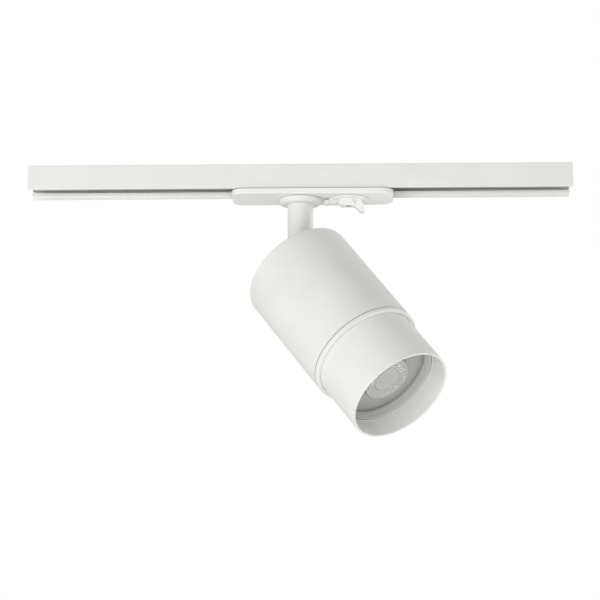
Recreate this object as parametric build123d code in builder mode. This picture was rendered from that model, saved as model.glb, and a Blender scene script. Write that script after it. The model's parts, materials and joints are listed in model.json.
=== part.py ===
"""Track spotlight: a telescopic round lamp head on a swivel stem, its adapter, and a length of track.

Frame: millimetres, +Z up, +X along the track. The origin is on the track's ceiling face, midway
between its two ceiling screws and straight above the swivel stem. The head stands turned and
tilted, as it is left in use, and its barrel is pulled out.
"""
import os
from math import cos, radians, sin

from build123d import *

os.makedirs("parts", exist_ok=True)


def save(builder, name):
    """Label a finished piece and write it as one STEP file."""
    builder.part.label = name
    export_step(builder.part, f"parts/{name}.step")


# ---------------------------------------------------------------------------
# Driving dimensions
# ---------------------------------------------------------------------------
# Track
TRACK_LENGTH = 404.0
TRACK_WIDTH = 35.5
TRACK_HEIGHT = 18.2
TRACK_WALL = 1.6
TRACK_ROOF = 1.8
LIP_THICKNESS = 1.2
LIP_RECESS = 2.6
SLOT_WIDTH = 22.0
CEILING_HOLE_SPACING = 300.0
CEILING_HOLE_RADIUS = 2.25

# Conductors in the track
INSULATOR_THICKNESS = 3.5
INSULATOR_HEIGHT = 7.0
CONTACT_LEVEL = -8.5
CONDUCTOR_THICKNESS = 0.7
CONDUCTOR_HEIGHT = 2.8
GROOVE_HEIGHT = 3.0
EARTH_STRIP_WIDTH = 4.0
EARTH_STRIP_THICKNESS = 0.6
EARTH_STRIP_OFFSET = 7.5

# Adapter
PLATE_LENGTH = 120.0
PLATE_WIDTH = 40.0
PLATE_THICKNESS = 3.8
PLATE_CENTRE_X = 9.2
PLATE_CORNER = 9.5
PLATE_GAP = 0.8
HOUSING_LENGTH = 112.0
HOUSING_WIDTH = 21.2
HOUSING_ROOF = -4.0
HOUSING_WALL = 1.2
CLIP_X = -31.0
TERMINAL_X = -18.0

# Locking lever
LEVER_X = 36.0
LEVER_DISC_RADIUS = 15.0
LEVER_DISC_THICKNESS = 0.8
ROTOR_RADIUS = 4.0
BLADE_REACH = 13.8
LATCH_REACH = 13.6
LATCH_THICKNESS = 1.7

# Swivel and stem
STEM_RADIUS = 9.5
STEM_BORE = 8.0
SWIVEL_RADIUS = 15.85
SWIVEL_THICKNESS = 4.3
NIPPLE_RADIUS = 5.0
NIPPLE_BORE = 3.2
STOP_PIN_CIRCLE = 7.9
STOP_PIN_RADIUS = 0.8

# Head: how it is turned and tilted, and where it hangs on its hinge
HEAD_PAN = -41.2
HEAD_DIP = 46.6
PIVOT_Z = -83.0
PIVOT_SETBACK = 5.0
PIVOT_DROP = 1.8

# Head: rear housing and what it holds, in distances along the head from its rear end
BODY_RADIUS = 42.0
BODY_BORE = 40.0
BODY_LENGTH = 93.0
CAP_INSET = 1.5
CAP_THICKNESS = 3.0
CHASSIS_REAR = 43.5
CHASSIS_THICKNESS = 3.0
POST_CIRCLE = 34.0
POST_ANGLES = (35.0, 145.0, 200.0, 340.0)
HEAT_SINK_RADIUS = 33.0
HEAT_SINK_FRONT = 74.0
HEAT_SINK_BASE = 5.0
FIN_COUNT = 16
FIN_THICKNESS = 1.6

# Head: collar and sliding front barrel
SEAM_WIDTH = 0.5
COLLAR_THICKNESS = 3.0
SPIGOT_LENGTH = 5.5
BARREL_RADIUS = 39.0
BARREL_BORE = 37.4
SEAT_BORE = 36.9
BARREL_REAR_BORE = 36.0
BARREL_REAR = 74.0
BARREL_FRONT = 141.5
BARREL_SHOULDER = 116.2
BEZEL_THICKNESS = 1.2
BAFFLE_FRONT = 125.7
BAFFLE_BORE = 35.8
LENS_FRONT = 124.0
LENS_RADIUS = 18.0
LENS_DISC_RADIUS = 10.0
LENS_DEPTH = 16.0

# Hinge
TONGUE_THICKNESS = 8.0
TONGUE_RADIUS = 6.5
EAR_THICKNESS = 2.5
EAR_GAP = 0.5
SHOULDER_THICKNESS = 0.8
SHOULDER_GAP = 0.7
HINGE_PIN_RADIUS = 2.5

# Clearances
FREE = 0.3
RUNNING = 0.06
SNUG = 0.05

# ---------------------------------------------------------------------------
# Places worked out from them
# ---------------------------------------------------------------------------
lip_top = -TRACK_HEIGHT + LIP_RECESS + LIP_THICKNESS
cavity_half = TRACK_WIDTH / 2 - TRACK_WALL
plate_top = -TRACK_HEIGHT - PLATE_GAP
plate_bottom = plate_top - PLATE_THICKNESS
swivel_top = plate_bottom - FREE
swivel_bottom = swivel_top - SWIVEL_THICKNESS
stem_bottom = PIVOT_Z + TONGUE_RADIUS + SHOULDER_GAP + SHOULDER_THICKNESS
collar_rear = BODY_LENGTH + SEAM_WIDTH
chassis_front = CHASSIS_REAR + CHASSIS_THICKNESS
barrel_length = BARREL_FRONT - BARREL_REAR
bezel_rear = BARREL_SHOULDER
bezel_front = BARREL_SHOULDER + BEZEL_THICKNESS

pan = radians(HEAD_PAN)
dip = radians(HEAD_DIP)
ahead = Vector(cos(pan), sin(pan), 0)
sideways = Vector(-sin(pan), cos(pan), 0)
forward = ahead * cos(dip) - Vector(0, 0, sin(dip))
headtop = forward.cross(sideways)
pivot = Vector(0, 0, PIVOT_Z)
rear_centre = pivot - forward * PIVOT_SETBACK + headtop * PIVOT_DROP

# The head's own plane: local X runs sideways, local Y to its upper side, and Z along its axis.
head = Plane(origin=rear_centre, x_dir=sideways, z_dir=forward)
head_axis = Axis(rear_centre, forward)
# The same centre, with local X out to one side and local Y forward, for turned profiles.
head_profile = Plane(origin=rear_centre, x_dir=sideways, z_dir=sideways.cross(forward))
# Upright through the hinge: local X ahead and local Y up, seen along the hinge pin.
hinge = Plane(origin=pivot, x_dir=ahead, z_dir=-sideways)
# Across the hinge in the head's own directions: local X forward, local Y to the head's upper side.
head_hinge = Plane(origin=pivot, x_dir=forward, z_dir=-sideways)

# ---------------------------------------------------------------------------
# Track: one aluminium extrusion, open below between two lips set up inside its walls
# ---------------------------------------------------------------------------
track_end = Plane.YZ.offset(-TRACK_LENGTH / 2)
cavity_height = TRACK_HEIGHT - TRACK_ROOF - LIP_THICKNESS - LIP_RECESS

with BuildPart() as track_profile:
    with BuildSketch(track_end) as track_section:
        with Locations((0, -TRACK_HEIGHT / 2)):
            Rectangle(TRACK_WIDTH, TRACK_HEIGHT)
        fillet(track_section.vertices(), 0.6)
        with Locations((0, lip_top + cavity_height / 2)):
            Rectangle(2 * cavity_half, cavity_height, mode=Mode.SUBTRACT)
        with Locations((0, lip_top - LIP_THICKNESS / 2)):
            Rectangle(SLOT_WIDTH, LIP_THICKNESS + 0.1, mode=Mode.SUBTRACT)
        with Locations((0, -TRACK_HEIGHT + LIP_RECESS / 2)):
            Rectangle(2 * cavity_half, LIP_RECESS, mode=Mode.SUBTRACT)
    extrude(amount=TRACK_LENGTH)
    with BuildSketch(Plane.XY.offset(-TRACK_ROOF - 1)):
        with GridLocations(CEILING_HOLE_SPACING, 0, 2, 1):
            Circle(CEILING_HOLE_RADIUS)
    extrude(amount=TRACK_ROOF + 2, mode=Mode.SUBTRACT)
save(track_profile, "track_profile")

# Plastic strips along both sides of the channel, each with a copper conductor deep in its groove
groove_depth = INSULATOR_THICKNESS - 1.1
insulator_inner = cavity_half - SNUG - INSULATOR_THICKNESS

for side, insulator_name, conductor_name in (
    (-1, "near_insulator", "live_conductor"),
    (1, "far_insulator", "neutral_conductor"),
):
    with BuildPart() as insulator:
        with BuildSketch(track_end):
            with Locations((side * (insulator_inner + INSULATOR_THICKNESS / 2), CONTACT_LEVEL)):
                Rectangle(INSULATOR_THICKNESS, INSULATOR_HEIGHT)
            with Locations((side * (insulator_inner + groove_depth / 2), CONTACT_LEVEL)):
                Rectangle(groove_depth, GROOVE_HEIGHT, mode=Mode.SUBTRACT)
        extrude(amount=TRACK_LENGTH)
    save(insulator, insulator_name)

    with BuildPart() as conductor:
        conductor_y = insulator_inner + groove_depth - SNUG - CONDUCTOR_THICKNESS / 2
        with BuildSketch(track_end):
            with Locations((side * conductor_y, CONTACT_LEVEL)):
                Rectangle(CONDUCTOR_THICKNESS, CONDUCTOR_HEIGHT)
        extrude(amount=TRACK_LENGTH)
    save(conductor, conductor_name)

with BuildPart() as earth_strip:
    with BuildSketch(track_end):
        with Locations((EARTH_STRIP_OFFSET, -TRACK_ROOF - SNUG - EARTH_STRIP_THICKNESS / 2)):
            Rectangle(EARTH_STRIP_WIDTH, EARTH_STRIP_THICKNESS)
    extrude(amount=TRACK_LENGTH)
save(earth_strip, "earth_strip")

# ---------------------------------------------------------------------------
# Adapter: oblong plate under the track, and a plastic housing up inside its channel
# ---------------------------------------------------------------------------
housing_height = HOUSING_ROOF - plate_top
window_low = lip_top + 0.1
window_high = CONTACT_LEVEL + 1.3
stop_lug_half_angle = 4.0
stop_groove_depth = 2.0
stop_groove_half_width = STOP_PIN_RADIUS + FREE
plate_screw_x = (-42.0, 60.5)
plate_screw_radius = 1.25
plate_screw_hole = plate_screw_radius + SNUG
plate_screw_bite = 2.5
plate_screw_length = 10.0
screw_post_radius = 3.0
lever_window_length = 29.0
clip_width = 8.0
clip_window_length = clip_width + 1.2
clip_window_height = 2.7

with BuildPart() as adapter_plate:
    with BuildSketch(Plane.XY.offset(plate_bottom)):
        with Locations((PLATE_CENTRE_X, 0)):
            RectangleRounded(PLATE_LENGTH, PLATE_WIDTH, PLATE_CORNER)
    extrude(amount=PLATE_THICKNESS)
    fillet(adapter_plate.faces().sort_by(Axis.Z)[0].edges(), 0.8)
    with BuildSketch(Plane.XY.offset(plate_bottom)):
        Circle(NIPPLE_RADIUS + RUNNING)
        with Locations((LEVER_X, 0)):
            Circle(ROTOR_RADIUS + RUNNING)
    extrude(amount=PLATE_THICKNESS, mode=Mode.SUBTRACT)
    # The pan stop's groove is a ring broken by one lug, opposite the pin
    with BuildSketch(Plane.XY.offset(plate_bottom)):
        Circle(STOP_PIN_CIRCLE + stop_groove_half_width)
        Circle(STOP_PIN_CIRCLE - stop_groove_half_width, mode=Mode.SUBTRACT)
        with BuildLine():
            Polyline(
                (0, 0),
                Vector(15, 0).rotate(Axis.Z, HEAD_PAN + 180 - stop_lug_half_angle),
                Vector(15, 0).rotate(Axis.Z, HEAD_PAN + 180 + stop_lug_half_angle),
                close=True,
            )
        make_face(mode=Mode.SUBTRACT)
    extrude(amount=stop_groove_depth, mode=Mode.SUBTRACT)
    with BuildSketch(Plane.XY.offset(plate_top - plate_screw_bite - 0.5)):
        with Locations(*[(x, 0) for x in plate_screw_x]):
            Circle(plate_screw_hole)
    extrude(amount=plate_screw_bite + 0.5, mode=Mode.SUBTRACT)
save(adapter_plate, "adapter_plate")

with BuildPart() as adapter_housing:
    with BuildSketch(Plane.XY.offset(plate_top + SNUG)):
        with Locations((PLATE_CENTRE_X, 0)):
            RectangleRounded(HOUSING_LENGTH, HOUSING_WIDTH, 3)
    extrude(amount=housing_height - SNUG)
    with BuildSketch(Plane.XY.offset(plate_top)):
        with Locations((PLATE_CENTRE_X, 0)):
            RectangleRounded(HOUSING_LENGTH - 2 * HOUSING_WALL, HOUSING_WIDTH - 2 * HOUSING_WALL, 2)
    extrude(amount=housing_height - HOUSING_WALL, mode=Mode.SUBTRACT)
    # Windows in both side walls for the turning contacts and for the spring clip
    with BuildSketch(Plane.XZ.offset(-HOUSING_WIDTH)):
        with Locations((LEVER_X, (window_low + window_high) / 2)):
            Rectangle(lever_window_length, window_high - window_low)
        with Locations((CLIP_X, lip_top + clip_window_height / 2)):
            Rectangle(clip_window_length, clip_window_height)
    extrude(amount=2 * HOUSING_WIDTH, mode=Mode.SUBTRACT)
    # Posts that take the screws from the plate
    with BuildSketch(Plane.XY.offset(plate_top + SNUG)):
        with Locations(*[(x, 0) for x in plate_screw_x]):
            Circle(screw_post_radius)
            Circle(plate_screw_hole, mode=Mode.SUBTRACT)
    extrude(amount=housing_height - HOUSING_WALL)
save(adapter_housing, "adapter_housing")

with BuildPart() as plate_screws:
    with BuildSketch(Plane.XY.offset(plate_top - plate_screw_bite)):
        with Locations(*[(x, 0) for x in plate_screw_x]):
            Circle(plate_screw_radius)
    extrude(amount=plate_screw_length)
save(plate_screws, "plate_screws")

clip_thickness = 0.5
clip_low = lip_top + 0.4
clip_reach = LATCH_REACH - 0.2
nose_length = 2.4
nose_rise = 0.9
bridge_half = 7.0
bridge_rise = 5.0
with BuildPart() as retaining_clip:
    # A bent steel strip across the housing, whose two noses snap over the lips
    half_clip = [
        (bridge_half, clip_low + bridge_rise),
        (bridge_half + 1.6, clip_low),
        (clip_reach - nose_length, clip_low),
        (clip_reach, clip_low + nose_rise),
        (clip_reach, clip_low + nose_rise + clip_thickness),
        (clip_reach - nose_length, clip_low + clip_thickness),
        (bridge_half + 2.0, clip_low + clip_thickness),
        (bridge_half + 0.4, clip_low + bridge_rise + clip_thickness),
    ]
    other_half = [(-y, z) for y, z in reversed(half_clip)]
    with BuildSketch(Plane.YZ.offset(CLIP_X - clip_width / 2)):
        with BuildLine():
            Polyline(*half_clip, *other_half, close=True)
        make_face()
    extrude(amount=clip_width)
save(retaining_clip, "retaining_clip")

arch_start = -30.0
arch_top = -TRACK_ROOF - EARTH_STRIP_THICKNESS - SNUG - FREE
arch_width = 2.4
with BuildPart() as earth_contact:
    # A sprung arch on the housing's roof that bears on the track's earth strip
    with BuildSketch(Plane.XZ.offset(-EARTH_STRIP_OFFSET - arch_width / 2)):
        with BuildLine():
            Polyline(
                (arch_start, HOUSING_ROOF + SNUG),
                (arch_start + 4, HOUSING_ROOF + SNUG),
                (arch_start + 8, arch_top - 0.3),
                (arch_start + 12, arch_top - 0.3),
                (arch_start + 16, HOUSING_ROOF + SNUG),
                (arch_start + 16.8, HOUSING_ROOF + SNUG + 0.2),
                (arch_start + 12.4, arch_top),
                (arch_start + 7.6, arch_top),
                (arch_start + 3.9, HOUSING_ROOF + SNUG + 0.3),
                (arch_start, HOUSING_ROOF + SNUG + 0.3),
                close=True,
            )
        make_face()
    extrude(amount=arch_width)
save(earth_contact, "earth_contact")

block_bottom = -16.5
block_height = 9.0
wire_hole_depth = 4.5
with BuildPart() as terminal_block:
    # Plastic block behind the stem where the track contacts meet the head's lead
    with BuildSketch(Plane.XY.offset(block_bottom)):
        with Locations((TERMINAL_X, 0)):
            Rectangle(13, 15)
    extrude(amount=block_height)
    with BuildSketch(Plane.XY.offset(block_bottom + block_height - wire_hole_depth)):
        with Locations((TERMINAL_X, -4), (TERMINAL_X, 4)):
            Circle(1.8)
    extrude(amount=wire_hole_depth, mode=Mode.SUBTRACT)
save(terminal_block, "terminal_block")

# ---------------------------------------------------------------------------
# Locking lever: turned from below, it swings the latch and the contacts across the channel
# ---------------------------------------------------------------------------
lever_top = plate_bottom - FREE
lever_face = lever_top - LEVER_DISC_THICKNESS
hub_drop = 4.5
hub_start = LEVER_X - 5.8
hub_end = LEVER_X + 1.2
hub_half = 8.8
ridge_half = 4.2
neck_end = LEVER_X + 5.5
neck_half = 3.6
arm_width = 7.0
arm_tip_x = 17.9
arm_drop = 3.4
grip_groove_width = 0.9
grip_groove_depth = 0.9
grip_groove_pitch = 2.2
lever_screw_bore = 1.3
lever_screw_head = 2.5
lever_screw_sink = 2.0
lever_screw_length = 10.5
tail_root = LEVER_X + 2.4
tail_width = 7.6

with BuildPart() as lever_hub:
    # Its outline from below, cut to a ridge that falls away to the front and to the back
    with BuildSketch(Plane.XY.offset(lever_face - hub_drop)):
        with BuildLine():
            Polyline(
                (hub_start, -hub_half),
                (hub_end, -hub_half),
                (neck_end, -neck_half),
                (neck_end, neck_half),
                (hub_end, hub_half),
                (hub_start, hub_half),
                close=True,
            )
        make_face()
    extrude(amount=hub_drop)
    with BuildSketch(Plane.YZ.offset(hub_start)):
        with BuildLine():
            Polyline(
                (-hub_half, lever_face),
                (-ridge_half, lever_face - hub_drop),
                (ridge_half, lever_face - hub_drop),
                (hub_half, lever_face),
                close=True,
            )
        make_face()
    extrude(amount=neck_end - hub_start, mode=Mode.INTERSECT)

with BuildPart() as lever_handle:
    with BuildSketch(Plane.XY.offset(lever_face)):
        with Locations((LEVER_X, 0)):
            Circle(LEVER_DISC_RADIUS)
    extrude(amount=LEVER_DISC_THICKNESS)
    add(lever_hub)
    with BuildSketch(Plane.XY.offset(lever_face - arm_drop)):
        with Locations(((arm_tip_x + LEVER_X) / 2, 0)):
            RectangleRounded(LEVER_X - arm_tip_x, arm_width, 2.6)
    extrude(amount=arm_drop)
    # The finger tail curls down past the rim of the disc to a blunt end
    with BuildSketch(Plane.XZ.offset(-tail_width / 2)):
        with BuildLine():
            Line((tail_root, lever_face), (tail_root, lever_face - 4.2))
            Spline(
                (tail_root, lever_face - 4.2),
                (tail_root + 3.2, lever_face - 6.0),
                (tail_root + 6.2, lever_face - 9.4),
            )
            Polyline(
                (tail_root + 6.2, lever_face - 9.4),
                (tail_root + 9.5, lever_face - 9.4),
                (tail_root + 9.5, lever_face - 5.4),
            )
            Spline(
                (tail_root + 9.5, lever_face - 5.4),
                (tail_root + 7.8, lever_face - 2.4),
                (tail_root + 7.0, lever_face),
            )
            Line((tail_root + 7.0, lever_face), (tail_root, lever_face))
        make_face()
    extrude(amount=tail_width)
    # Grooves across the arm and down its sides give it its grip
    with BuildSketch(Plane.XY.offset(lever_face - arm_drop)):
        with Locations(*[(arm_tip_x + 3.2 + grip_groove_pitch * step, 0) for step in range(4)]):
            Rectangle(grip_groove_width, arm_width + 1)
    extrude(amount=grip_groove_depth, mode=Mode.SUBTRACT)
    with BuildSketch(Plane.XY.offset(lever_face - arm_drop)):
        with Locations(*[(arm_tip_x + 3.2 + grip_groove_pitch * step, 0) for step in range(4)]):
            Rectangle(grip_groove_width, arm_width + 1)
            Rectangle(grip_groove_width, arm_width - 2 * grip_groove_depth, mode=Mode.SUBTRACT)
    extrude(amount=arm_drop, mode=Mode.SUBTRACT)
    with BuildSketch(Plane.XY.offset(lever_face - hub_drop)):
        with Locations((LEVER_X, 0)):
            Circle(lever_screw_head + 0.1)
    extrude(amount=lever_screw_sink, mode=Mode.SUBTRACT)
    with BuildSketch(Plane.XY.offset(lever_face - hub_drop)):
        with Locations((LEVER_X, 0)):
            Circle(lever_screw_bore)
    extrude(amount=hub_drop + LEVER_DISC_THICKNESS, mode=Mode.SUBTRACT)
save(lever_handle, "lever_handle")

blade_thickness = 1.2
blade_width = 5.0
blade_low = CONTACT_LEVEL - blade_thickness / 2
rotor_top = CONTACT_LEVEL + 2.2
rotor_step_radius = 7.5
latch_low = lip_top + FREE
latch_width = 9.0
with BuildPart() as lever_rotor:
    # Plastic core on the lever's axis, stepped to carry the latch below and the contacts above
    with BuildSketch(Plane.XY.offset(lever_top + SNUG)):
        with Locations((LEVER_X, 0)):
            Circle(ROTOR_RADIUS)
    extrude(amount=rotor_top - lever_top - SNUG)
    with BuildSketch(Plane.XY.offset(latch_low + LATCH_THICKNESS + SNUG)):
        with Locations((LEVER_X, 0)):
            Circle(rotor_step_radius)
    extrude(amount=blade_low - latch_low - LATCH_THICKNESS - 2 * SNUG)
    with BuildSketch(Plane.XY.offset(lever_top)):
        with Locations((LEVER_X, 0)):
            Circle(lever_screw_bore)
    extrude(amount=8, mode=Mode.SUBTRACT)
save(lever_rotor, "lever_rotor")

with BuildPart() as latch_cam:
    with BuildSketch(Plane.XY.offset(latch_low)):
        with Locations((LEVER_X, 0)):
            Circle(LATCH_REACH)
            Rectangle(latch_width, 2 * LATCH_REACH, mode=Mode.INTERSECT)
            Circle(ROTOR_RADIUS + SNUG, mode=Mode.SUBTRACT)
    extrude(amount=LATCH_THICKNESS)
save(latch_cam, "latch_cam")

for side, blade_name in ((-1, "live_blade"), (1, "neutral_blade")):
    with BuildPart() as blade:
        with BuildSketch(Plane.XY.offset(blade_low)):
            with Locations((LEVER_X, 0)):
                Circle(BLADE_REACH)
                Circle(ROTOR_RADIUS + SNUG, mode=Mode.SUBTRACT)
            with Locations((LEVER_X, side * BLADE_REACH / 2)):
                Rectangle(blade_width, BLADE_REACH, mode=Mode.INTERSECT)
        extrude(amount=blade_thickness)
    save(blade, blade_name)

half_head = 0.8
screw_face = lever_face - hub_drop + 0.3
with BuildPart() as lever_screw:
    with BuildSketch(Plane.XY.offset(screw_face)):
        with Locations((LEVER_X, 0)):
            Circle(lever_screw_head)
            Rectangle(3.2, 0.7, mode=Mode.SUBTRACT)
            Rectangle(0.7, 3.2, mode=Mode.SUBTRACT)
    extrude(amount=half_head)
    with BuildSketch(Plane.XY.offset(screw_face + half_head)):
        with Locations((LEVER_X, 0)):
            Circle(lever_screw_head)
    extrude(amount=half_head)
    with BuildSketch(Plane.XY.offset(screw_face + 2 * half_head)):
        with Locations((LEVER_X, 0)):
            Circle(lever_screw_bore - SNUG)
    extrude(amount=lever_screw_length)
save(lever_screw, "lever_screw")

# ---------------------------------------------------------------------------
# Swivel and stem: they turn together under the adapter plate
# ---------------------------------------------------------------------------
with BuildPart() as swivel_disc:
    with BuildSketch(Plane.XY.offset(swivel_bottom)):
        Circle(SWIVEL_RADIUS)
    extrude(amount=SWIVEL_THICKNESS)
    rim_edges = swivel_disc.edges().filter_by(GeomType.CIRCLE)
    fillet(rim_edges.sort_by(Axis.Z)[0], 2.6)
    fillet(swivel_disc.edges().filter_by(GeomType.CIRCLE).sort_by(Axis.Z)[-1], 0.3)
    with BuildSketch(Plane.XY.offset(swivel_bottom)):
        Circle(NIPPLE_RADIUS + SNUG)
    extrude(amount=SWIVEL_THICKNESS, mode=Mode.SUBTRACT)
    with BuildSketch(Plane.XY.offset(swivel_top - 1)):
        with Locations(ahead * STOP_PIN_CIRCLE):
            Circle(STOP_PIN_RADIUS + SNUG)
    extrude(amount=4, mode=Mode.SUBTRACT)
save(swivel_disc, "swivel_disc")

with BuildPart() as pan_stop_pin:
    with BuildSketch(Plane.XY.offset(swivel_top - 0.9)):
        with Locations(ahead * STOP_PIN_CIRCLE):
            Circle(STOP_PIN_RADIUS)
    extrude(amount=plate_bottom + stop_groove_depth - FREE - swivel_top + 0.9)
save(pan_stop_pin, "pan_stop_pin")

nipple_top = -9.5
nut_half_width = 8.6
nut_height = 4.0
lead_radius = 2.6
knuckle_wire_hole = 1.2
with BuildPart() as swivel_nipple:
    with BuildSketch(Plane.XY.offset(swivel_bottom + 0.1)):
        Circle(NIPPLE_RADIUS)
        Circle(NIPPLE_BORE, mode=Mode.SUBTRACT)
    extrude(amount=nipple_top - swivel_bottom - 0.1)
save(swivel_nipple, "swivel_nipple")

washer_low = plate_top + FREE
washer_thickness = 1.2
with BuildPart() as swivel_washer:
    with BuildSketch(Plane.XY.offset(washer_low)):
        Circle(nut_half_width)
        Circle(NIPPLE_RADIUS + SNUG, mode=Mode.SUBTRACT)
    extrude(amount=washer_thickness)
save(swivel_washer, "swivel_washer")

with BuildPart() as swivel_nut:
    with BuildSketch(Plane.XY.offset(washer_low + washer_thickness + SNUG)):
        RegularPolygon(nut_half_width, 6)
        Circle(NIPPLE_RADIUS + SNUG, mode=Mode.SUBTRACT)
    extrude(amount=nut_height)
save(swivel_nut, "swivel_nut")

with BuildPart() as stem_tube:
    with BuildSketch(Plane.XY.offset(stem_bottom)):
        Circle(STEM_RADIUS)
        Circle(STEM_BORE, mode=Mode.SUBTRACT)
    extrude(amount=swivel_bottom - SNUG - stem_bottom)
save(stem_tube, "stem_tube")

plug_length = 12.0
tongue_root = TONGUE_RADIUS + SHOULDER_GAP
with BuildPart() as stem_knuckle:
    # A plug in the tube's end, a thin shoulder below it, and a flat tongue round the hinge pin
    with BuildSketch(Plane.XY.offset(stem_bottom - SHOULDER_THICKNESS)):
        Circle(STEM_RADIUS)
    extrude(amount=SHOULDER_THICKNESS - SNUG)
    with BuildSketch(Plane.XY.offset(stem_bottom - SNUG)):
        Circle(STEM_BORE - SNUG)
    extrude(amount=plug_length)
    with BuildSketch(hinge.offset(-TONGUE_THICKNESS / 2)):
        Circle(TONGUE_RADIUS)
        with Locations((0, tongue_root / 2)):
            Rectangle(2 * TONGUE_RADIUS, tongue_root)
    extrude(amount=TONGUE_THICKNESS)
    with BuildSketch(hinge.offset(-TONGUE_THICKNESS)):
        Circle(HINGE_PIN_RADIUS + RUNNING)
    extrude(amount=2 * TONGUE_THICKNESS, mode=Mode.SUBTRACT)
    # Way for the lead through the plug, out at the shoulder beside the tongue
    with BuildSketch(Plane.XY.offset(stem_bottom - SHOULDER_THICKNESS)):
        with Locations(sideways * 6.0):
            Circle(knuckle_wire_hole)
    extrude(amount=plug_length + SHOULDER_THICKNESS, mode=Mode.SUBTRACT)
save(stem_knuckle, "stem_knuckle")

with BuildPart() as supply_lead:
    # The sheathed lead, straight down the middle of the stem from the nipple to the plug
    lead_bottom = stem_bottom + plug_length + 1
    with BuildSketch(Plane.XY.offset(lead_bottom)):
        Circle(lead_radius)
    extrude(amount=nipple_top + 1.5 - lead_bottom)
save(supply_lead, "supply_lead")

# ---------------------------------------------------------------------------
# Head: round rear housing, closed behind by a cap that is slotted so that the stem can swing
# ---------------------------------------------------------------------------
stem_slot_half = STEM_RADIUS + 1.5
screw_radius = 1.5
post_places = [Vector(POST_CIRCLE, 0).rotate(Axis.Z, angle) for angle in POST_ANGLES]
vent_circle = 26.0
vent_count = 24

with BuildPart() as rear_housing:
    with BuildSketch(head):
        Circle(BODY_RADIUS)
    extrude(amount=BODY_LENGTH)
    fillet(rear_housing.edges().group_by(head_axis)[0], 1.2)
    with BuildSketch(head):
        Circle(BODY_BORE)
    extrude(amount=BODY_LENGTH, mode=Mode.SUBTRACT)
save(rear_housing, "rear_housing")

with BuildPart() as rear_cap:
    with BuildSketch(head.offset(CAP_INSET)):
        Circle(BODY_BORE - SNUG)
        with Locations((0, -PIVOT_DROP)):
            Circle(stem_slot_half, mode=Mode.SUBTRACT)
        with Locations((0, -PIVOT_DROP + BODY_RADIUS / 2)):
            Rectangle(2 * stem_slot_half, BODY_RADIUS, mode=Mode.SUBTRACT)
        with Locations(*post_places):
            Circle(screw_radius + 0.1, mode=Mode.SUBTRACT)
    extrude(amount=CAP_THICKNESS)
    # Radial vents all round, left out beside the stem's slot
    with BuildSketch(head.offset(CAP_INSET)):
        with PolarLocations(vent_circle, vent_count, start_angle=180 / vent_count):
            Rectangle(9, 2)
        with Locations((0, BODY_RADIUS / 2)):
            Rectangle(34, BODY_RADIUS, mode=Mode.SUBTRACT)
    extrude(amount=CAP_THICKNESS, mode=Mode.SUBTRACT)
save(rear_cap, "rear_cap")

# ---------------------------------------------------------------------------
# Tilt hinge: the stem's tongue between two ears of a yoke, on one pin
# ---------------------------------------------------------------------------
ear_inner = TONGUE_THICKNESS / 2 + EAR_GAP
ear_outer = ear_inner + EAR_THICKNESS
yoke_base_thickness = 3.0
yoke_base_rear = CHASSIS_REAR - SNUG - yoke_base_thickness
ear_length = yoke_base_rear - PIVOT_SETBACK
yoke_screw_x = 13.5

with BuildPart() as hinge_yoke:
    with BuildSketch(head.offset(yoke_base_rear)):
        with Locations((0, -PIVOT_DROP)):
            RectangleRounded(36, 2 * TONGUE_RADIUS, 3)
        with Locations((-yoke_screw_x, -PIVOT_DROP), (yoke_screw_x, -PIVOT_DROP)):
            Circle(screw_radius + 0.1, mode=Mode.SUBTRACT)
    extrude(amount=yoke_base_thickness)
    with BuildSketch(head_hinge.offset(-ear_outer), head_hinge.offset(ear_inner)):
        Circle(TONGUE_RADIUS)
        with Locations((ear_length / 2, 0)):
            Rectangle(ear_length, 2 * TONGUE_RADIUS)
    extrude(amount=EAR_THICKNESS)
    with BuildSketch(head_hinge.offset(-ear_outer)):
        Circle(HINGE_PIN_RADIUS + SNUG)
    extrude(amount=2 * ear_outer, mode=Mode.SUBTRACT)
save(hinge_yoke, "hinge_yoke")

pin_head_radius = 4.4
pin_head_thickness = 2.5
pin_socket_depth = 1.5
pin_nut_thickness = 2.8
pin_end = 0.4
with BuildPart() as hinge_pin:
    with BuildSketch(head_hinge.offset(-ear_outer - pin_nut_thickness - pin_end)):
        Circle(HINGE_PIN_RADIUS)
    extrude(amount=2 * ear_outer + pin_nut_thickness + pin_end + SNUG)
    with BuildSketch(head_hinge.offset(ear_outer + SNUG)):
        Circle(pin_head_radius)
    extrude(amount=pin_head_thickness)
    with BuildSketch(head_hinge.offset(ear_outer + SNUG + pin_head_thickness - pin_socket_depth)):
        RegularPolygon(2.2, 6)
    extrude(amount=pin_socket_depth, mode=Mode.SUBTRACT)
save(hinge_pin, "hinge_pin")

with BuildPart() as hinge_nut:
    with BuildSketch(head_hinge.offset(-ear_outer - SNUG - pin_nut_thickness)):
        RegularPolygon(pin_head_radius, 6)
        Circle(HINGE_PIN_RADIUS + SNUG, mode=Mode.SUBTRACT)
    extrude(amount=pin_nut_thickness)
save(hinge_nut, "hinge_nut")

tilt_washer_thickness = 0.3
with BuildPart() as tilt_washers:
    with BuildSketch(
        head_hinge.offset(-ear_inner + SNUG),
        head_hinge.offset(ear_inner - SNUG - tilt_washer_thickness),
    ):
        Circle(TONGUE_RADIUS - 0.5)
        Circle(HINGE_PIN_RADIUS + SNUG, mode=Mode.SUBTRACT)
    extrude(amount=tilt_washer_thickness)
save(tilt_washers, "tilt_washers")

# ---------------------------------------------------------------------------
# Inside the rear housing: chassis, posts, screws and driver
# ---------------------------------------------------------------------------
post_rear = CAP_INSET + CAP_THICKNESS + SNUG
post_radius = 3.2
sink_screw_places = [Vector(22.0, 0).rotate(Axis.Z, angle) for angle in (60, 120, 240, 300)]
driver_rear = 6.0
driver_length = 35.0
driver_width = 38.0
driver_height = 13.0
driver_centre_y = -26.6

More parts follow.
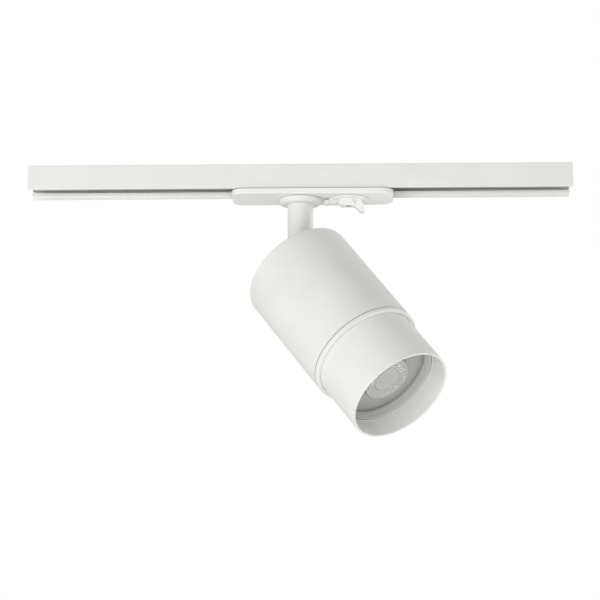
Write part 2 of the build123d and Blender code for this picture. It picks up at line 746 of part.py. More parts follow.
with BuildPart() as chassis_disc:
    with BuildSketch(head.offset(CHASSIS_REAR)):
        Circle(BODY_BORE - SNUG)
        with Locations((-yoke_screw_x, -PIVOT_DROP), (yoke_screw_x, -PIVOT_DROP)):
            Circle(screw_radius + SNUG, mode=Mode.SUBTRACT)
        with Locations(*sink_screw_places):
            Circle(screw_radius + SNUG, mode=Mode.SUBTRACT)
        with Locations((0, 26)):
            Circle(4, mode=Mode.SUBTRACT)
    extrude(amount=CHASSIS_THICKNESS)
save(chassis_disc, "chassis_disc")

with BuildPart() as chassis_posts:
    with BuildSketch(head.offset(post_rear)):
        with Locations(*post_places):
            Circle(post_radius)
    extrude(amount=CHASSIS_REAR - SNUG - post_rear)
    with BuildSketch(head.offset(post_rear)):
        with Locations(*post_places):
            Circle(screw_radius + SNUG)
    extrude(amount=8.5, mode=Mode.SUBTRACT)
save(chassis_posts, "chassis_posts")

cap_screw_head = 1.2
cap_screw_face = CAP_INSET - cap_screw_head - SNUG
with BuildPart() as cap_screws:
    with BuildSketch(head.offset(cap_screw_face)):
        with Locations(*post_places):
            Circle(2.8)
    extrude(amount=cap_screw_head)
    with BuildSketch(head.offset(CAP_INSET - SNUG)):
        with Locations(*post_places):
            Circle(screw_radius)
    extrude(amount=10)
    with BuildSketch(head.offset(cap_screw_face)):
        with Locations(*post_places):
            RegularPolygon(1.2, 6)
    extrude(amount=0.8, mode=Mode.SUBTRACT)
save(cap_screws, "cap_screws")

inner_screw_head_radius = 2.7
inner_screw_head = 2.0
with BuildPart() as yoke_screws:
    with BuildSketch(head.offset(yoke_base_rear - SNUG - inner_screw_head)):
        with Locations((-yoke_screw_x, -PIVOT_DROP), (yoke_screw_x, -PIVOT_DROP)):
            Circle(inner_screw_head_radius)
    extrude(amount=inner_screw_head)
    with BuildSketch(head.offset(yoke_base_rear - SNUG)):
        with Locations((-yoke_screw_x, -PIVOT_DROP), (yoke_screw_x, -PIVOT_DROP)):
            Circle(screw_radius)
    extrude(amount=yoke_base_thickness + CHASSIS_THICKNESS - 0.4)
save(yoke_screws, "yoke_screws")

with BuildPart() as driver_case:
    with BuildSketch(head.offset(driver_rear)):
        with Locations((0, driver_centre_y)):
            RectangleRounded(driver_width, driver_height, 1.5)
    extrude(amount=driver_length)
save(driver_case, "driver_case")

# ---------------------------------------------------------------------------
# Light engine: finned heat sink with the LED on its front
# ---------------------------------------------------------------------------
fin_length = HEAT_SINK_FRONT - HEAT_SINK_BASE - chassis_front - SNUG
board_thickness = 1.5
holder_height = 2.6
holder_rear = HEAT_SINK_FRONT + board_thickness + 2 * SNUG
holder_screw_places = [Vector(11.0, 0).rotate(Axis.Z, angle) for angle in (45, 225)]
holder_screw_radius = 1.0
holder_screw_depth = 3.5
sink_core_radius = 9.0
sink_boss_radius = 3.4
emitter_radius = 6.2

with BuildPart() as heat_sink:
    with BuildSketch(head.offset(chassis_front + SNUG)):
        Circle(sink_core_radius)
        with PolarLocations(HEAT_SINK_RADIUS / 2 + 2, FIN_COUNT):
            Rectangle(HEAT_SINK_RADIUS - 4, FIN_THICKNESS)
    extrude(amount=fin_length)
    with BuildSketch(head.offset(HEAT_SINK_FRONT - HEAT_SINK_BASE)):
        Circle(HEAT_SINK_RADIUS)
    extrude(amount=HEAT_SINK_BASE)
    # Bosses between fins take the screws from the chassis
    with BuildSketch(head.offset(chassis_front + SNUG)):
        with Locations(*sink_screw_places):
            Circle(sink_boss_radius)
    extrude(amount=fin_length)
    with BuildSketch(head.offset(chassis_front)):
        with Locations(*sink_screw_places):
            Circle(screw_radius + SNUG)
    extrude(amount=9, mode=Mode.SUBTRACT)
    with BuildSketch(head.offset(HEAT_SINK_FRONT - holder_screw_depth - 0.5)):
        with Locations(*holder_screw_places):
            Circle(holder_screw_radius + SNUG)
    extrude(amount=holder_screw_depth + 0.5, mode=Mode.SUBTRACT)
save(heat_sink, "heat_sink")

with BuildPart() as sink_screws:
    with BuildSketch(head.offset(CHASSIS_REAR - SNUG - inner_screw_head)):
        with Locations(*sink_screw_places):
            Circle(inner_screw_head_radius)
    extrude(amount=inner_screw_head)
    with BuildSketch(head.offset(CHASSIS_REAR - SNUG)):
        with Locations(*sink_screw_places):
            Circle(screw_radius)
    extrude(amount=CHASSIS_THICKNESS + 8)
save(sink_screws, "sink_screws")

with BuildPart() as led_board:
    with BuildSketch(head.offset(HEAT_SINK_FRONT + SNUG)):
        RectangleRounded(19, 19, 1)
        with Locations(*holder_screw_places):
            Circle(1.4, mode=Mode.SUBTRACT)
    extrude(amount=board_thickness)
save(led_board, "led_board")

with BuildPart() as led_emitter:
    with BuildSketch(head.offset(HEAT_SINK_FRONT + board_thickness + 2 * SNUG)):
        Circle(emitter_radius)
    extrude(amount=0.7)
save(led_emitter, "led_emitter")

with BuildPart() as led_holder:
    with BuildSketch(head.offset(holder_rear)):
        Circle(14.5)
        Circle(emitter_radius + 0.4, mode=Mode.SUBTRACT)
        with Locations(*holder_screw_places):
            Circle(1.15, mode=Mode.SUBTRACT)
    extrude(amount=holder_height)
    chamfer(led_holder.edges().filter_by(GeomType.CIRCLE).group_by(head_axis)[-1], 0.8)
save(led_holder, "led_holder")

with BuildPart() as holder_screws:
    with BuildSketch(head.offset(HEAT_SINK_FRONT - holder_screw_depth)):
        with Locations(*holder_screw_places):
            Circle(holder_screw_radius)
    extrude(amount=holder_screw_depth + board_thickness + 2 * SNUG + holder_height + SNUG)
    with BuildSketch(head.offset(holder_rear + holder_height + SNUG)):
        with Locations(*holder_screw_places):
            Circle(1.9)
    extrude(amount=1.1)
save(holder_screws, "holder_screws")

# ---------------------------------------------------------------------------
# Collar: end ring of the rear housing, with the felt band that the barrel slides in
# ---------------------------------------------------------------------------
collar_bore = BARREL_RADIUS + FREE
band_rear = collar_rear + 0.8
band_width = 1.4
band_outer = 40.4

with BuildPart() as collar_ring:
    with BuildSketch(head.offset(collar_rear)):
        Circle(BODY_RADIUS)
    extrude(amount=COLLAR_THICKNESS)
    fillet(collar_ring.edges().group_by(head_axis)[-1], 0.7)
    with BuildSketch(head.offset(collar_rear)):
        Circle(BODY_BORE - SNUG)
    extrude(amount=-SPIGOT_LENGTH)
    with BuildSketch(head.offset(collar_rear - SPIGOT_LENGTH)):
        Circle(collar_bore)
    extrude(amount=SPIGOT_LENGTH + COLLAR_THICKNESS, mode=Mode.SUBTRACT)
    with BuildSketch(head.offset(band_rear)):
        Circle(band_outer + SNUG)
    extrude(amount=band_width, mode=Mode.SUBTRACT)
save(collar_ring, "collar_ring")

with BuildPart() as guide_band:
    with BuildSketch(head.offset(band_rear + SNUG)):
        Circle(band_outer)
        Circle(BARREL_RADIUS + RUNNING, mode=Mode.SUBTRACT)
    extrude(amount=band_width - 2 * SNUG)
save(guide_band, "guide_band")

# ---------------------------------------------------------------------------
# Front barrel: slides in the collar and carries the lens, its holder, the bezel and the baffle
# ---------------------------------------------------------------------------
stop_ring_front = collar_rear - SPIGOT_LENGTH - FREE
stop_ring_width = 1.6
stop_ring_seat = BARREL_RADIUS - 0.7

with BuildPart() as front_barrel:
    with BuildSketch(head.offset(BARREL_REAR)):
        Circle(BARREL_RADIUS)
    extrude(amount=barrel_length)
    fillet(front_barrel.edges().group_by(head_axis)[-1], 0.5)
    with BuildSketch(head.offset(BARREL_REAR)):
        Circle(BARREL_REAR_BORE)
    extrude(amount=BARREL_SHOULDER - BARREL_REAR, mode=Mode.SUBTRACT)
    with BuildSketch(head.offset(BARREL_SHOULDER)):
        Circle(SEAT_BORE)
    extrude(amount=BAFFLE_FRONT - BARREL_SHOULDER, mode=Mode.SUBTRACT)
    with BuildSketch(head.offset(BAFFLE_FRONT)):
        Circle(BARREL_BORE)
    extrude(amount=BARREL_FRONT - BAFFLE_FRONT, mode=Mode.SUBTRACT)
    fillet(front_barrel.edges().group_by(head_axis)[-1], 0.4)
    with BuildSketch(head.offset(stop_ring_front - stop_ring_width)):
        Circle(BARREL_RADIUS + 1)
        Circle(stop_ring_seat, mode=Mode.SUBTRACT)
    extrude(amount=stop_ring_width, mode=Mode.SUBTRACT)
save(front_barrel, "front_barrel")

with BuildPart() as stop_ring:
    with BuildSketch(head.offset(stop_ring_front - stop_ring_width + SNUG)):
        Circle(BODY_BORE - FREE)
        Circle(stop_ring_seat + SNUG, mode=Mode.SUBTRACT)
        with Locations((0, -BARREL_RADIUS)):
            Rectangle(5, 6, mode=Mode.SUBTRACT)
    extrude(amount=stop_ring_width - 2 * SNUG)
save(stop_ring, "stop_ring")

bezel_outer = SEAT_BORE - SNUG
bezel_hole = LENS_RADIUS + 0.4
bezel_rise = 3.2
with BuildPart() as bezel_plate:
    # A shallow dished ring, higher at its middle, where the lens stands in its hole
    with BuildSketch(head_profile):
        with BuildLine():
            Polyline(
                (bezel_hole, bezel_rear + bezel_rise),
                (BAFFLE_BORE - 1, bezel_rear + SNUG),
                (bezel_outer, bezel_rear + SNUG),
                (bezel_outer, bezel_front),
                (BAFFLE_BORE - 1, bezel_front),
                (bezel_hole, bezel_front + bezel_rise),
                close=True,
            )
        make_face()
    revolve(axis=head_axis)
save(bezel_plate, "bezel_plate")

with BuildPart() as baffle_ring:
    with BuildSketch(head.offset(bezel_front + SNUG)):
        Circle(SEAT_BORE - SNUG)
        Circle(BAFFLE_BORE, mode=Mode.SUBTRACT)
    extrude(amount=BAFFLE_FRONT - bezel_front - SNUG)
    fillet(baffle_ring.edges().group_by(head_axis)[-1].sort_by(SortBy.RADIUS)[0], 0.4)
save(baffle_ring, "baffle_ring")

lens_rear = LENS_FRONT - LENS_DEPTH
lens_rear_radius = 8.0
lens_flange = 1.6
with BuildPart() as lens:
    with BuildSketch(head_profile):
        with BuildLine():
            Polyline(
                (0, LENS_FRONT - 0.6),
                (LENS_DISC_RADIUS, LENS_FRONT - 0.6),
                (LENS_DISC_RADIUS, LENS_FRONT),
                (LENS_RADIUS, LENS_FRONT),
                (LENS_RADIUS, LENS_FRONT - lens_flange),
            )
            ThreePointArc(
                (LENS_RADIUS, LENS_FRONT - lens_flange),
                (14.6, (LENS_FRONT + lens_rear) / 2 - 0.4),
                (lens_rear_radius, lens_rear),
            )
            Polyline(
                (lens_rear_radius, lens_rear),
                (5.5, lens_rear),
                (4.6, lens_rear + 6),
                (0, lens_rear + 7),
                (0, LENS_FRONT - 0.6),
            )
        make_face()
    revolve(axis=head_axis)
save(lens, "lens")

cup_wall = 1.3
cup_rear = lens_rear - cup_wall - 0.3
cup_front = bezel_rear + 2.6
cup_radius = LENS_RADIUS + 0.3 + cup_wall
with BuildPart() as lens_cup:
    with BuildSketch(head.offset(cup_rear)):
        Circle(cup_radius)
        Circle(7.2, mode=Mode.SUBTRACT)
    extrude(amount=cup_wall)
    with BuildSketch(head.offset(cup_rear)):
        Circle(cup_radius)
        Circle(LENS_RADIUS + 0.3, mode=Mode.SUBTRACT)
    extrude(amount=cup_front - cup_rear)
save(lens_cup, "lens_cup")
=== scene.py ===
"""White track spotlight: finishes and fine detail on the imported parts, in a plain white studio."""
import json
import math

import bmesh
import bpy
from mathutils import Matrix, Vector


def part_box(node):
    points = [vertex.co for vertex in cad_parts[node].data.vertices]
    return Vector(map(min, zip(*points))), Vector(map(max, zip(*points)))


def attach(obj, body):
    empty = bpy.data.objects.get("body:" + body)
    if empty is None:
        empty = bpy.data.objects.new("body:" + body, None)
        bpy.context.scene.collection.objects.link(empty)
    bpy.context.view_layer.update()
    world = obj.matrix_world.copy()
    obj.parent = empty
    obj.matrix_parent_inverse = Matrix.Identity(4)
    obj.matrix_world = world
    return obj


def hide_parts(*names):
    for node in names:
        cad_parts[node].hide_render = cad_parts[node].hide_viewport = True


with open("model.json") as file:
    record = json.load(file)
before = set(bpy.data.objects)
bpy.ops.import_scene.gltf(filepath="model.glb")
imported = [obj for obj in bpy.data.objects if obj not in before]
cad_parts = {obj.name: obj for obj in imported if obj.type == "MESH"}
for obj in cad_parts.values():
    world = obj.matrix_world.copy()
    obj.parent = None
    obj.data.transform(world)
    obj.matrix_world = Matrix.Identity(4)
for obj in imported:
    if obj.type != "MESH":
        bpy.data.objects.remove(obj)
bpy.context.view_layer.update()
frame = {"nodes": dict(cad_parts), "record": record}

# ---------------------------------------------------------------------------
# Studio. A long lens stands low in front of the lamp and looks up at it. The room glows white all
# round over a pale floor well below. Broad soft lights stand low on the left, under the lamp, to
# the left of the camera, and behind on the right for the bright edge there.
# ---------------------------------------------------------------------------
CAMERA_PLACE = (0.02595, -1.7768, -0.4421)
CAMERA_YAW = -0.0149
CAMERA_PITCH = 0.1905
CAMERA_ROLL = -0.0031
CAMERA_LENS = 146.53
FLOOR_LEVEL = -0.75
FLOOR_HALF = 4.0
ROOM_GLOW = 0.555
SOFT_LIGHTS = (
    # name, place, size across, watts
    ("low_left", (-1.2, -0.9, -0.6), 1.0, 6.6),
    ("floor_panel", (0.0, -0.5, -0.72), 1.4, 5.25),
    ("left_fill", (-0.9, -2.3, -0.2), 1.0, 6.2),
    ("right_rim", (1.7, 0.9, 0.2), 1.2, 15.0),
)
LIGHTS_AIM = Vector((0.02, 0.0, -0.08))


class Signal:
    """One output of a shader node. Sums on it add their own Math nodes."""

    def __init__(self, graph, socket):
        self.graph = graph
        self.socket = socket

    def math(self, operation, *terms):
        return self.graph.node("ShaderNodeMath", {"operation": operation}, dict(enumerate(terms)))

    def __add__(self, other):
        return self.math("ADD", self, other)

    __radd__ = __add__

    def __mul__(self, other):
        return self.math("MULTIPLY", self, other)

    __rmul__ = __mul__

    def between(self, low, high):
        """0 below low, 1 above high, and smooth between them."""
        return self.graph.node(
            "ShaderNodeMapRange", {"interpolation_type": "SMOOTHSTEP"},
            {"Value": self, "From Min": low, "From Max": high})


class Graph:
    """The node tree of one material or of the room."""

    def __init__(self, owner):
        owner.use_nodes = True
        self.tree = owner.node_tree
        self.tree.nodes.clear()

    def node(self, kind, settings, inputs, output=0):
        """Adds a node: first its settings, then its sockets' values or links."""
        made = self.tree.nodes.new(kind)
        for name, value in settings.items():
            setattr(made, name, value)
        for name, value in inputs.items():
            if isinstance(value, Signal):
                self.tree.links.new(value.socket, made.inputs[name])
            else:
                made.inputs[name].default_value = value
        return Signal(self, made.outputs[output])

    def place(self):
        """The point's own place on the part, in metres."""
        return self.node("ShaderNodeTexCoord", {}, {}, "Object")

    def noise(self, grain, detail=2.0, stretch=None):
        """Soft noise from 0 to 1, whose lumps are about grain metres across."""
        place = self.place()
        if stretch:
            place = self.node("ShaderNodeVectorMath", {"operation": "MULTIPLY"},
                              {0: place, 1: stretch})
        return self.node("ShaderNodeTexNoise", {},
                         {"Vector": place, "Scale": 1 / grain, "Detail": detail}, "Fac")

    def tint(self, share, first, second):
        """The first colour where share is 0, and the second where it is 1."""
        return self.node("ShaderNodeMix", {"data_type": "RGBA"}, {0: share, 6: first, 7: second}, 2)

    def bump(self, height, depth):
        """A height from 0 to 1 raised by depth metres."""
        return self.node("ShaderNodeBump", {}, {"Height": height, "Distance": depth, "Strength": 1.0})

    def finish(self, shader, kind="ShaderNodeOutputMaterial"):
        """Ends the tree in its output node."""
        end = self.tree.nodes.new(kind)
        self.tree.links.new(shader.socket, end.inputs["Surface"])


def aim(thing, place, target):
    """Stands a light at place and turns it to the target."""
    place = Vector(place)
    turn = (target - place).to_track_quat("-Z", "Y").to_matrix().to_4x4()
    thing.matrix_world = Matrix.Translation(place) @ turn


scene = bpy.context.scene
scene.view_settings.view_transform = "Standard"

look = Vector((math.sin(CAMERA_YAW) * math.cos(CAMERA_PITCH),
               math.cos(CAMERA_YAW) * math.cos(CAMERA_PITCH),
               math.sin(CAMERA_PITCH)))
level_right = Vector((math.cos(CAMERA_YAW), -math.sin(CAMERA_YAW), 0))
level_up = level_right.cross(look)
camera_right = math.cos(CAMERA_ROLL) * level_right + math.sin(CAMERA_ROLL) * level_up
camera_up = camera_right.cross(look)
camera = bpy.data.objects.new("camera", bpy.data.cameras.new("camera"))
camera.data.sensor_width = 36.0
camera.data.lens = CAMERA_LENS
turn = Matrix((camera_right, camera_up, -look)).transposed().to_4x4()
camera.matrix_world = Matrix.Translation(CAMERA_PLACE) @ turn
scene.collection.objects.link(camera)
scene.camera = camera

room = Graph(bpy.data.worlds.new("white_room"))
scene.world = bpy.data.worlds["white_room"]
seen = room.node("ShaderNodeLightPath", {}, {}, "Is Camera Ray")
glow = seen * (1.0 - ROOM_GLOW) + ROOM_GLOW
room.finish(room.node("ShaderNodeBackground", {}, {"Color": (1, 1, 0.995, 1), "Strength": glow}),
            "ShaderNodeOutputWorld")

for light_name, light_place, light_size, light_power in SOFT_LIGHTS:
    lamp = bpy.data.lights.new(light_name, "AREA")
    lamp.shape = "DISK"
    lamp.size = light_size
    lamp.energy = light_power
    stand = bpy.data.objects.new(light_name, lamp)
    stand.visible_camera = False
    scene.collection.objects.link(stand)
    aim(stand, light_place, LIGHTS_AIM)

floor_mesh = bpy.data.meshes.new("studio_floor")
floor_mesh.from_pydata(
    [(x * FLOOR_HALF, y * FLOOR_HALF, FLOOR_LEVEL) for x, y in ((-1, -1), (1, -1), (1, 1), (-1, 1))],
    [], [(0, 1, 2, 3)])
studio_floor = bpy.data.objects.new("studio_floor", floor_mesh)
scene.collection.objects.link(studio_floor)
floor_paint = bpy.data.materials.new("pale_floor")
floor_graph = Graph(floor_paint)
floor_graph.finish(floor_graph.node(
    "ShaderNodeBsdfPrincipled", {},
    {"Base Color": floor_graph.tint(floor_graph.noise(0.4), (0.86, 0.86, 0.85, 1), (0.9, 0.9, 0.89, 1)),
     "Roughness": 0.8}))
floor_mesh.materials.append(floor_paint)

# ---------------------------------------------------------------------------
# Track. A low extruded aluminium channel, powder-coated white after extrusion and then sawn to
# length, so that its cut ends are bare. Two screws through its roof hold it to the ceiling.
# ---------------------------------------------------------------------------
TRACK_WHITE = (0.84, 0.84, 0.815, 1)
COAT_EDGE = (0.00005, 0.00001)  # where the coat starts and ends fading out, short of the saw line


def dress(material, *nodes):
    """Gives CAD nodes a finish."""
    for name in nodes:
        part = frame["nodes"][name]
        if not part.material_slots:
            part.data.materials.append(material)
        for holder in part.material_slots:
            holder.material = material


def powder_coat(name, white, peel, peel_depth, roughness, saw_line=None):
    """Baked polyester powder: a faint orange peel over a fine grit, matt, with a slight mottle.
    Past a saw line, so far along X to either side, the bare metal shows with its saw marks."""
    material = bpy.data.materials.new(name)
    graph = Graph(material)
    mottle = graph.noise(0.03, 3.0)
    shade = tuple(0.955 * channel for channel in white[:3]) + (1,)
    grit = graph.noise(peel * 0.2, 1.0)
    orange_peel = graph.noise(peel, 2.0)
    specks = graph.noise(0.0011, 0.0).between(0.78, 0.8)
    colour = graph.tint(mottle.between(0.3, 0.75), white, shade)
    colour = graph.tint(specks * 0.12, colour, (0.45, 0.43, 0.4, 1))
    height = orange_peel + 0.15 * grit
    skin = graph.node(
        "ShaderNodeBsdfPrincipled", {},
        {"Base Color": colour,
         "Roughness": roughness - 0.05 + 0.1 * mottle,
         "Normal": graph.bump(height, peel_depth),
         "Specular IOR Level": 0.45})
    if saw_line:
        marks = graph.noise(0.0004, 2.0, (1, 1, 0.08))
        bare = graph.node(
            "ShaderNodeBsdfPrincipled", {},
            {"Base Color": graph.tint(marks, (0.74, 0.74, 0.75, 1), (0.56, 0.56, 0.57, 1)),
             "Metallic": 1.0,
             "Roughness": 0.3 + 0.2 * marks,
             "Normal": graph.bump(marks, 0.00001)})
        along = graph.node("ShaderNodeSeparateXYZ", {}, {"Vector": graph.place()}, "X")
        past = along.math("ABSOLUTE", along).between(saw_line - COAT_EDGE[0], saw_line - COAT_EDGE[1])
        skin = graph.node("ShaderNodeMixShader", {}, {0: past, 1: skin, 2: bare})
    graph.finish(skin)
    return material


track_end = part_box("track_profile")[1][0]
dress(powder_coat("track_powder_coat", TRACK_WHITE, 0.0012, 0.00001, 0.5, track_end), "track_profile")

# ---------------------------------------------------------------------------
# Conductors. Grey PVC strips are pushed along both sides of the channel, each with a bare copper
# strip deep in its groove, and a third copper strip for earth is pressed under the roof.
# ---------------------------------------------------------------------------
PVC_GREY = (0.5, 0.5, 0.49, 1)
COPPER = (0.72, 0.42, 0.27, 1)
TARNISH = (0.42, 0.27, 0.2, 1)
PLASTIC_GRAIN_DEPTH = 0.000006
METAL_LINE_DEPTH = 0.000004


def moulded_plastic(name, colour, roughness, texture=0.0004):
    """Injection-moulded plastic: an even spark-eroded grain and soft flow shading."""
    material = bpy.data.materials.new(name)
    graph = Graph(material)
    flow = graph.noise(0.025, 2.0)
    shade = tuple(0.95 * channel for channel in colour[:3]) + (1,)
    graph.finish(graph.node(
        "ShaderNodeBsdfPrincipled", {},
        {"Base Color": graph.tint(flow, colour, shade),
         "Roughness": roughness - 0.04 + 0.08 * graph.noise(0.006),
         "Normal": graph.bump(graph.noise(texture, 1.0), PLASTIC_GRAIN_DEPTH)}))
    return material


def drawn_metal(name, bright, dull, roughness, grain=(1, 1, 1)):
    """Bare metal with fine lines from drawing or turning, and dull patches."""
    material = bpy.data.materials.new(name)
    graph = Graph(material)
    patches = graph.noise(0.006, 4.0).between(0.45, 0.7)
    lines = graph.noise(0.0006, 2.0, grain)
    graph.finish(graph.node(
        "ShaderNodeBsdfPrincipled", {},
        {"Base Color": graph.tint(patches, bright, dull),
         "Metallic": 1.0,
         "Roughness": roughness + 0.15 * patches + 0.08 * lines,
         "Normal": graph.bump(lines, METAL_LINE_DEPTH)}))
    return material


grey_pvc = moulded_plastic("grey_pvc", PVC_GREY, 0.5)
bare_copper = drawn_metal("bare_copper", COPPER, TARNISH, 0.28, (0.03, 1, 1))
dress(grey_pvc, "near_insulator", "far_insulator")
dress(bare_copper, "live_conductor", "neutral_conductor", "earth_strip")

# ---------------------------------------------------------------------------
# Adapter. A flat oblong plate of white moulded plastic closes the slot from below. Its housing
# stands up inside the channel, held by two screws, with a spring clip that snaps over the lips.
# ---------------------------------------------------------------------------
PLASTIC_WHITE = (0.91, 0.91, 0.89, 1)
ZINC = (0.66, 0.66, 0.65, 1)
DULL_ZINC = (0.45, 0.45, 0.45, 1)

white_plastic = moulded_plastic("white_plastic", PLASTIC_WHITE, 0.42)
zinc_steel = drawn_metal("zinc_plated_steel", ZINC, DULL_ZINC, 0.28)
dress(white_plastic, "adapter_plate", "adapter_housing")
dress(zinc_steel, "plate_screws", "retaining_clip")
dress(bare_copper, "earth_contact")
dress(grey_pvc, "terminal_block")

# ---------------------------------------------------------------------------
# Locking lever. A round plastic cap under the plate with a ribbed arm and a drooping finger tail.
# It turns a steel latch and two copper blades in the channel, and one screw ties them together.
# ---------------------------------------------------------------------------
dress(white_plastic, "lever_handle")
dress(grey_pvc, "lever_rotor")
dress(zinc_steel, "latch_cam", "lever_screw")
dress(bare_copper, "live_blade", "neutral_blade")

# ---------------------------------------------------------------------------
# Swivel and stem. A turned aluminium flange and a round tube, both powder-coated, hang on a steel
# nipple and nut in the adapter. A knuckle in the tube's lower end takes the tilt pin.
# ---------------------------------------------------------------------------
HEAD_WHITE = (0.84, 0.838, 0.815, 1)

head_coat = powder_coat("head_powder_coat", HEAD_WHITE, 0.0009, 0.000008, 0.46)
dress(head_coat, "swivel_disc", "stem_tube")
dress(zinc_steel, "pan_stop_pin", "swivel_nipple", "swivel_washer", "swivel_nut", "stem_knuckle")
dress(moulded_plastic("lead_sheath", (0.8, 0.8, 0.78, 1), 0.5), "supply_lead")

# ---------------------------------------------------------------------------
# Rear housing. A drawn aluminium tube with a rolled rear edge, closed by a vented cap that is
# slotted for the stem. A steel yoke bolted to the chassis inside carries the tilt pin.
# ---------------------------------------------------------------------------
dress(head_coat, "rear_housing", "rear_cap")
dress(zinc_steel, "hinge_yoke", "hinge_pin", "hinge_nut", "cap_screws", "yoke_screws")
dress(grey_pvc, "tilt_washers")

# ---------------------------------------------------------------------------
# Light engine. A cast heat sink on a machined chassis, with the driver in a black potted case
# behind it, and on its front a square aluminium board with one round yellow emitter.
# ---------------------------------------------------------------------------
ALUMINIUM = (0.78, 0.78, 0.79, 1)
DULL_ALUMINIUM = (0.6, 0.6, 0.61, 1)

bare_aluminium = drawn_metal("bare_aluminium", ALUMINIUM, DULL_ALUMINIUM, 0.35)
dress(bare_aluminium, "chassis_disc", "chassis_posts", "heat_sink", "led_board")
dress(moulded_plastic("driver_case_plastic", (0.03, 0.03, 0.032, 1), 0.45), "driver_case")
dress(moulded_plastic("emitter_phosphor", (0.9, 0.68, 0.16, 1), 0.3, 0.0002), "led_emitter")
dress(white_plastic, "led_holder")
dress(zinc_steel, "sink_screws", "holder_screws")

# ---------------------------------------------------------------------------
# Collar and barrel. Both are aluminium in the head's powder coat. The barrel slides in the collar,
# gripped by a strip of grey felt glued in the collar's groove. A steel ring inside stops it.
# ---------------------------------------------------------------------------
dress(head_coat, "collar_ring", "front_barrel")
dress(zinc_steel, "stop_ring")

felt = bpy.data.materials.new("grey_felt")
felt_graph = Graph(felt)
fibres = felt_graph.noise(0.0004, 6.0)
felt_graph.finish(felt_graph.node(
    "ShaderNodeBsdfPrincipled", {},
    {"Base Color": felt_graph.tint(fibres, (0.2, 0.2, 0.2, 1), (0.42, 0.42, 0.41, 1)),
     "Roughness": 0.95,
     "Normal": felt_graph.bump(fibres, 0.0001)}))
dress(felt, "guide_band")

# ---------------------------------------------------------------------------
# Bezel and baffle. A shallow dished ring of satin grey plastic surrounds the optic. In front of it
# sits a paler stepped ring against glare, with a thin groove between its lip and the barrel's wall.
# ---------------------------------------------------------------------------
BEZEL_GREY = (0.5, 0.5, 0.485, 1)
BAFFLE_GREY = (0.6, 0.6, 0.585, 1)
LENS_FACE_DEPTH = 0.0094  # from the accessory bore's middle back to the lens's face
RING_SEGMENTS = 192
CREASE = math.radians(25)

bore = next(mount for mount in frame["record"]["mounts"] if mount["name"] == "accessory_bore")
head_forward = Vector(bore["axis"]).normalized()
head_side = head_forward.cross(Vector((0, 0, 1))).normalized()
head_top = head_side.cross(head_forward)
lens_face = Vector(bore["pos_m"]) - head_forward * LENS_FACE_DEPTH


def turned(outline, steps):
    """The same (radius, forward) point at every step round, for each point of an outline."""
    return [[tuple(spot)] * steps for spot in outline]


def ring_mesh(name, rings, material):
    """A closed surface round the head's axis. Each ring lists (radius, forward of the lens's face)
    for every step round, in millimetres, and the last ring joins the first."""
    work = bmesh.new()
    rows = []
    for ring in rings:
        row = []
        for step, (radius, along) in enumerate(ring):
            angle = 2 * math.pi * step / len(ring)
            spot = radius * (math.cos(angle) * head_side + math.sin(angle) * head_top)
            row.append(work.verts.new(lens_face + (spot + along * head_forward) * 0.001))
        rows.append(row)
    for row, following in zip(rows, rows[1:] + rows[:1]):
        for step in range(len(row)):
            after = (step + 1) % len(row)
            work.faces.new((row[step], row[after], following[after], following[step]))
    bmesh.ops.remove_doubles(work, verts=work.verts, dist=1e-7)
    bmesh.ops.recalc_face_normals(work, faces=work.faces)
    for face in work.faces:
        face.smooth = True
    for edge in work.edges:
        edge.smooth = edge.calc_face_angle(0) < CREASE
    mesh = bpy.data.meshes.new(name)
    work.to_mesh(mesh)
    work.free()
    mesh.materials.append(material)
    made = bpy.data.objects.new(name, mesh)
    scene.collection.objects.link(made)
    return made


baffle_outline = [
    # radius, forward of the lens's face: round the outside, the groove in front, the steps inside
    (36.83, -6.5), (36.83, -0.9), (36.15, -0.9), (36.1, 1.5), (36.0, 1.62), (35.9, 1.6),
    (35.3, 0.9), (35.25, 0.0), (34.85, -0.1), (34.82, -1.4), (34.45, -1.5), (34.42, -2.8),
    (34.05, -2.9), (34.0, -4.2), (34.5, -4.9), (34.9, -6.5),
]
satin_baffle = moulded_plastic("satin_baffle", BAFFLE_GREY, 0.4)
baffle_steps = ring_mesh("baffle_steps", turned(baffle_outline, RING_SEGMENTS), satin_baffle)
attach(baffle_steps, "barrel")
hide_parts("baffle_ring")

dress(moulded_plastic("satin_bezel", BEZEL_GREY, 0.3), "bezel_plate")

# ---------------------------------------------------------------------------
# Seam ring. A thin black ring fills the gap between the rear housing and its end collar, sunk a
# little below their surface: painted shade, so that the joint shows as a fine dark line.
# ---------------------------------------------------------------------------
SEAM_INNER_RADIUS = 39.97
SEAM_OUTER_RADIUS = 41.85
SEAM_REAR = -30.98  # forward of the lens's face
SEAM_FRONT = -30.52

seam_outline = [(SEAM_INNER_RADIUS, SEAM_REAR), (SEAM_OUTER_RADIUS, SEAM_REAR),
                (SEAM_OUTER_RADIUS, SEAM_FRONT), (SEAM_INNER_RADIUS, SEAM_FRONT)]
# painted shade: the ring's near-black darkens the seam's gap into a fine dark line
painted_seam_shade = moulded_plastic("painted_seam_shade", (0.02, 0.02, 0.02, 1), 0.6)
seam_ring = ring_mesh("seam_ring", turned(seam_outline, RING_SEGMENTS), painted_seam_shade)
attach(seam_ring, "head")

# ---------------------------------------------------------------------------
# Optic. One clear acrylic lens moulded with a flat frosted middle, and round it three rows of
# small pillow-shaped lenslets. Its conical sides gather the light, and a plastic cup holds it.
# ---------------------------------------------------------------------------
LENSLETS_ROUND = 40
LENSLET_ROWS = 3
LENSLET_CUTS = 4
LENSLET_RISE = 1.2
LENSLETS_START = 10.2
LENSLET_PITCH = 2.45
DISC_RADIUS = 10.0
DISC_DEPTH = 0.6
LENS_RADIUS = 17.98
SIDE_STEPS = 8
FROSTED_WITHIN = 0.002  # how far behind the lens's face the frosted middle may lie

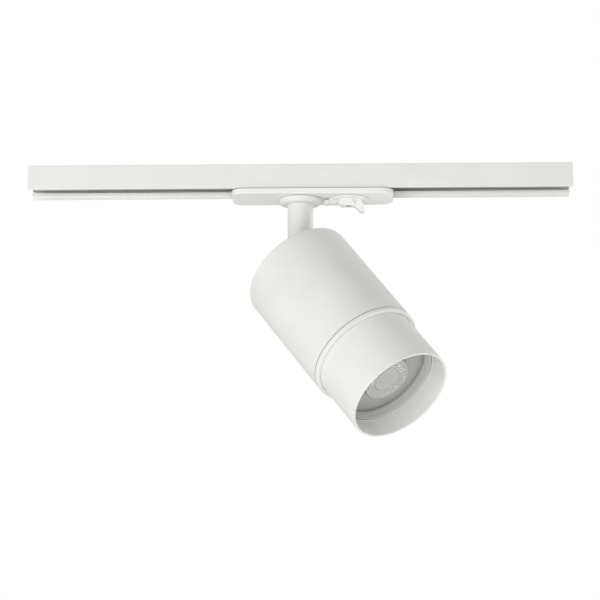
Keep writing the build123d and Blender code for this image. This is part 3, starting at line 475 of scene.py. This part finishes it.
lens_columns = LENSLETS_ROUND * LENSLET_CUTS


def pillow(step):
    """How far one cut across a lenslet lies from its middle, from -1 to 1, squared."""
    return (2 * (step % LENSLET_CUTS) / LENSLET_CUTS - 1) ** 2


lens_middle = [
    (0.0, -DISC_DEPTH), (4.0, -DISC_DEPTH), (8.0, -DISC_DEPTH), (DISC_RADIUS - 0.15, -DISC_DEPTH),
    (DISC_RADIUS, -DISC_DEPTH + 0.12), (DISC_RADIUS + 0.05, -0.3),
]
lens_rings = turned(lens_middle, lens_columns)
for cut in range(LENSLET_ROWS * LENSLET_CUTS + 1):
    radius = LENSLETS_START + LENSLET_PITCH * cut / LENSLET_CUTS
    lens_rings.append([
        (radius, -LENSLET_RISE * (pillow(cut) + pillow(column)) / 2) for column in range(lens_columns)])
side_start = Vector((LENS_RADIUS, -1.6))
side_bend = Vector((15.95, -8.0))
side_end = Vector((8.0, -16.0))
side_points = [
    (1 - share) ** 2 * side_start + 2 * share * (1 - share) * side_bend + share ** 2 * side_end
    for share in (step / SIDE_STEPS for step in range(SIDE_STEPS + 1))]
lens_back = [(LENS_RADIUS - 0.15, -0.3), (LENS_RADIUS, -0.5), *side_points,
             (5.5, -16.0), (5.2, -13.0), (4.6, -10.0), (3.0, -9.3), (0.0, -9.0)]
lens_rings += turned(lens_back, lens_columns)

clear = bpy.data.materials.new("clear_acrylic")
clear_graph = Graph(clear)
clear_graph.finish(clear_graph.node(
    "ShaderNodeBsdfPrincipled", {},
    {"Base Color": (0.97, 0.98, 0.97, 1),
     "Roughness": 0.02 + 0.03 * clear_graph.noise(0.004),
     "IOR": 1.49, "Transmission Weight": 0.5}))

frosted = bpy.data.materials.new("frosted_acrylic")
frosted_graph = Graph(frosted)
frosted_graph.finish(frosted_graph.node(
    "ShaderNodeBsdfPrincipled", {},
    {"Base Color": (0.9, 0.9, 0.88, 1),
     "Roughness": 0.3 + 0.1 * frosted_graph.noise(0.003),
     "Normal": frosted_graph.bump(frosted_graph.noise(0.0003, 2.0), 0.00002),
     "IOR": 1.49, "Transmission Weight": 0.45}))

faceted_lens = ring_mesh("faceted_lens", lens_rings, clear)
faceted_lens.data.materials.append(frosted)
for face in faceted_lens.data.polygons:
    out = face.center - lens_face
    along = out.dot(head_forward)
    radius = (out - along * head_forward).length
    if along > -FROSTED_WITHIN and radius < 0.001 * (DISC_RADIUS - 0.1):
        face.material_index = 1
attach(faceted_lens, "barrel")
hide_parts("lens")
dress(white_plastic, "lens_cup")
